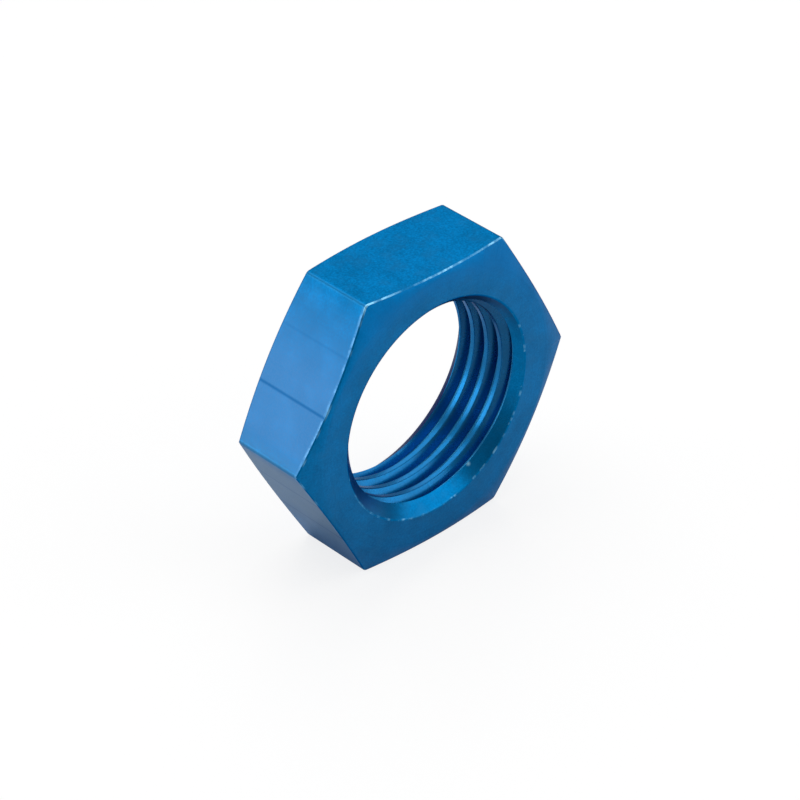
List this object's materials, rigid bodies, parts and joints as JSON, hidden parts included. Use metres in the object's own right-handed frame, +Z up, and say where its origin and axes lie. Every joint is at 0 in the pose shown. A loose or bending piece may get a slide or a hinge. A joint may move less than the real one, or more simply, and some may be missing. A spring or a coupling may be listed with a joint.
{
  "type": "bulkhead nut",
  "caption": "Thin hexagon nut with a large threaded hole, a countersink at each end of it and both faces chamfered, for holding a tube fitting in a bulkhead.",
  "frame": {"origin": "middle of the flat that the nut stands on, halfway through its thickness", "axes": "-Y along the thread axis, out of the front face; +Z up, square to the flat that the nut stands on; +X towards a corner of the hexagon"},
  "size_m": [0.0292, 0.008, 0.0254],
  "materials": {
    "blue_anodised": "satin, blue anodised"
  },
  "bodies": {
    "root": {"nut": "blue_anodised"}
  },
  "joints": []
}
